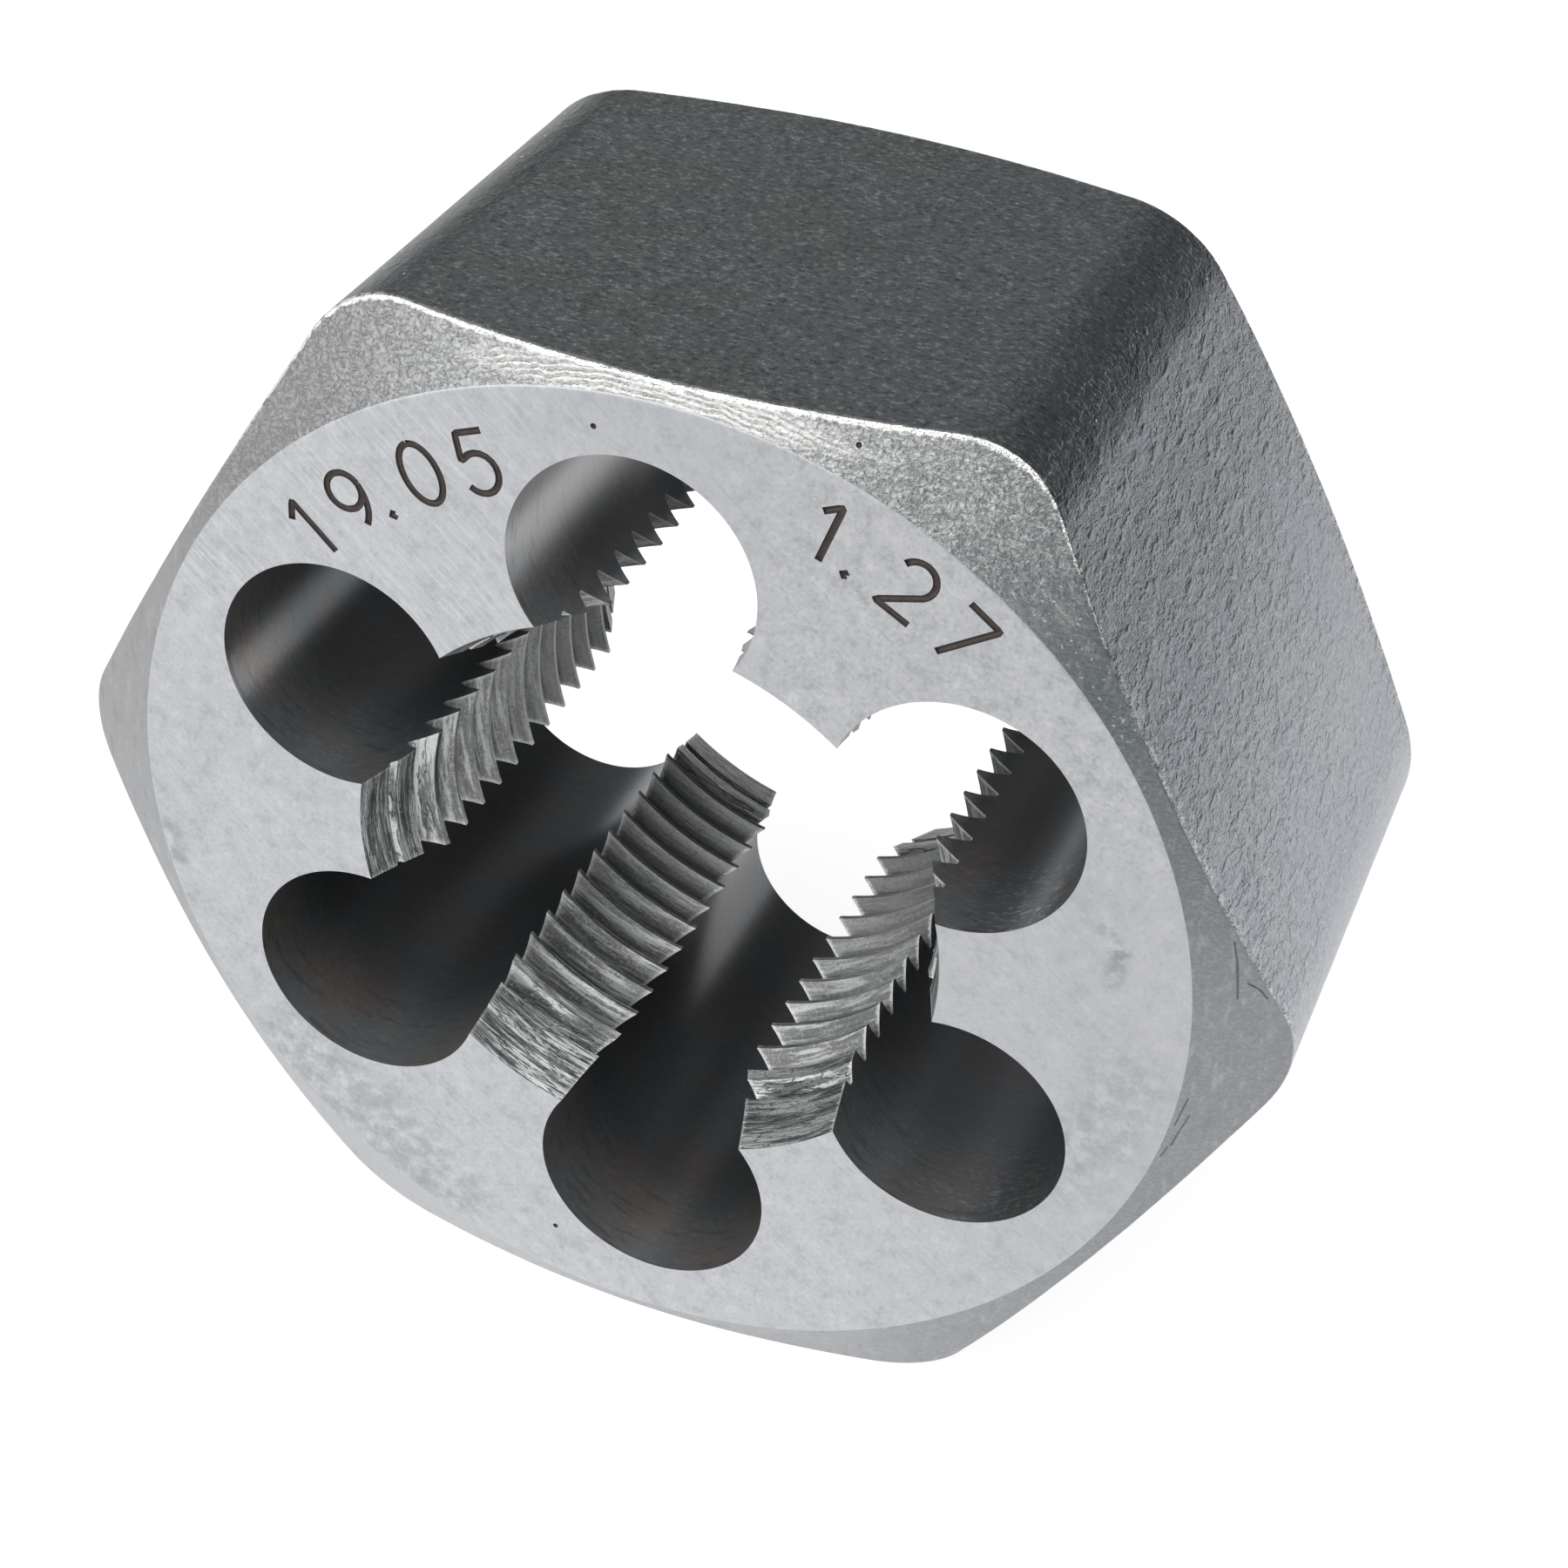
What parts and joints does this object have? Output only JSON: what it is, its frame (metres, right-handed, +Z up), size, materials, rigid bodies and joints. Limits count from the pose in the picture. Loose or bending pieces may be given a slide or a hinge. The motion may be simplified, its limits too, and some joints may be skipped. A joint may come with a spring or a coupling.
{
  "type": "hex rethreading die",
  "caption": "Hexagonal rethreading die: a chamfered hexagon block with a fine-thread bore cut into lands by round chip holes.",
  "frame": {"origin": "on the thread's axis, midway between the two faces", "axes": "the thread's axis is along Y, the marked front face looks towards -Y, +Z is up from the flat that it stands on"},
  "size_m": [0.041, 0.019, 0.0364],
  "materials": {
    "tool_steel": "turned satin faces, grey rough flats, dark chip holes"
  },
  "bodies": {
    "root": {"hex_die": "tool_steel"}
  },
  "joints": []
}
